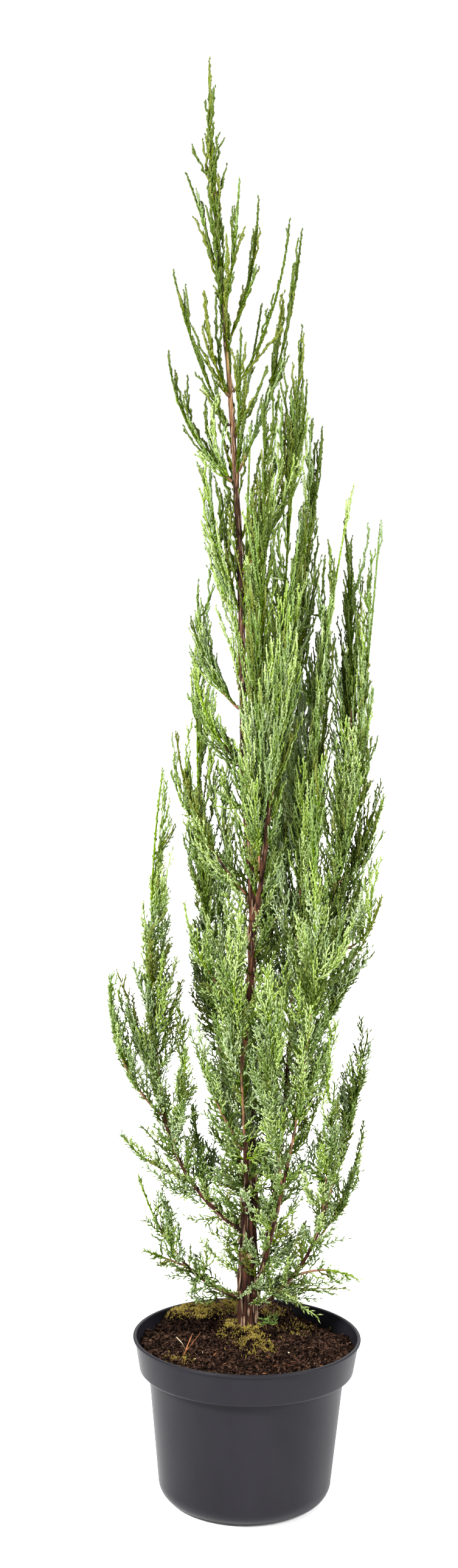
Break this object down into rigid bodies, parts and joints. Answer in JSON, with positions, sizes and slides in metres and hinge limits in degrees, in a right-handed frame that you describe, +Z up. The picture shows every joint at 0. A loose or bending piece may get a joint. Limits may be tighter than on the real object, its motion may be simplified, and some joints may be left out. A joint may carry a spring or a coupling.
{
  "type": "potted rocky mountain juniper",
  "caption": "Young upright juniper with a narrow crown of ascending scale-leaved shoots, growing in a round black nursery pot of soil.",
  "frame": {"origin": "centre of the pot's flat underside", "axes": "+Z up along the pot's axis, -Y towards the front of the plant, +X to the right as seen from the front"},
  "size_m": [0.2778, 0.2367, 1.428],
  "materials": {
    "pot_plastic": "satin",
    "peat": "rough, moist",
    "bark": "rough, peeling",
    "shoots_fresh": "waxy, semi-matt",
    "shoots_green": "waxy, semi-matt",
    "shoots_blue": "waxy, semi-matt"
  },
  "bodies": {
    "root": {"pot": "pot_plastic", "soil": "peat", "trunk": "bark", "bough_left_low": "bark", "bough_left": "bark", "bough_inner_left": "bark", "bough_right_back": "bark", "bough_right_slim": "bark", "bough_right_low": "bark", "bough_second_leader": "bark", "bough_right_far": "bark", "bough_back_left": "bark", "bough_back_right": "bark", "leader": "shoots_fresh", "top_left": "shoots_green", "top_front": "shoots_blue", "top_right": "shoots_fresh", "upper_right": "shoots_green", "upper_right_back": "shoots_blue", "upper_left_front": "shoots_fresh", "upper_left": "shoots_green", "mid_left_outer": "shoots_blue", "upper_front": "shoots_fresh", "mid_back_right": "shoots_green", "mid_right_front": "shoots_blue", "second_leader_top": "shoots_fresh", "second_leader_right": "shoots_green", "front_centre": "shoots_blue", "mid_left": "shoots_fresh", "left_slim": "shoots_green", "left_front": "shoots_blue", "left_outer": "shoots_fresh", "left_lower": "shoots_green", "right_crest": "shoots_blue", "right_far_top": "shoots_fresh", "right_far_outer": "shoots_green", "right_far_front": "shoots_blue", "right_far_back": "shoots_fresh", "right_far_low": "shoots_green", "inner_left_low": "shoots_blue", "inner_left_top": "shoots_fresh", "right_middle": "shoots_green", "right_slim_top": "shoots_blue", "front_right": "shoots_fresh", "right_low_top": "shoots_green", "right_low_inner": "shoots_blue", "right_low_outer": "shoots_fresh", "right_low_hanging": "shoots_green", "left_top": "shoots_blue", "left_far": "shoots_fresh", "left_inner": "shoots_green", "left_far_low": "shoots_blue", "left_back_low": "shoots_fresh", "left_low_top": "shoots_green", "left_low_hanging": "shoots_blue", "back_left_top": "shoots_fresh", "back_left_low": "shoots_green", "back_right_top": "shoots_blue", "back_right_low": "shoots_fresh", "back_centre": "shoots_green"}
  },
  "joints": []
}
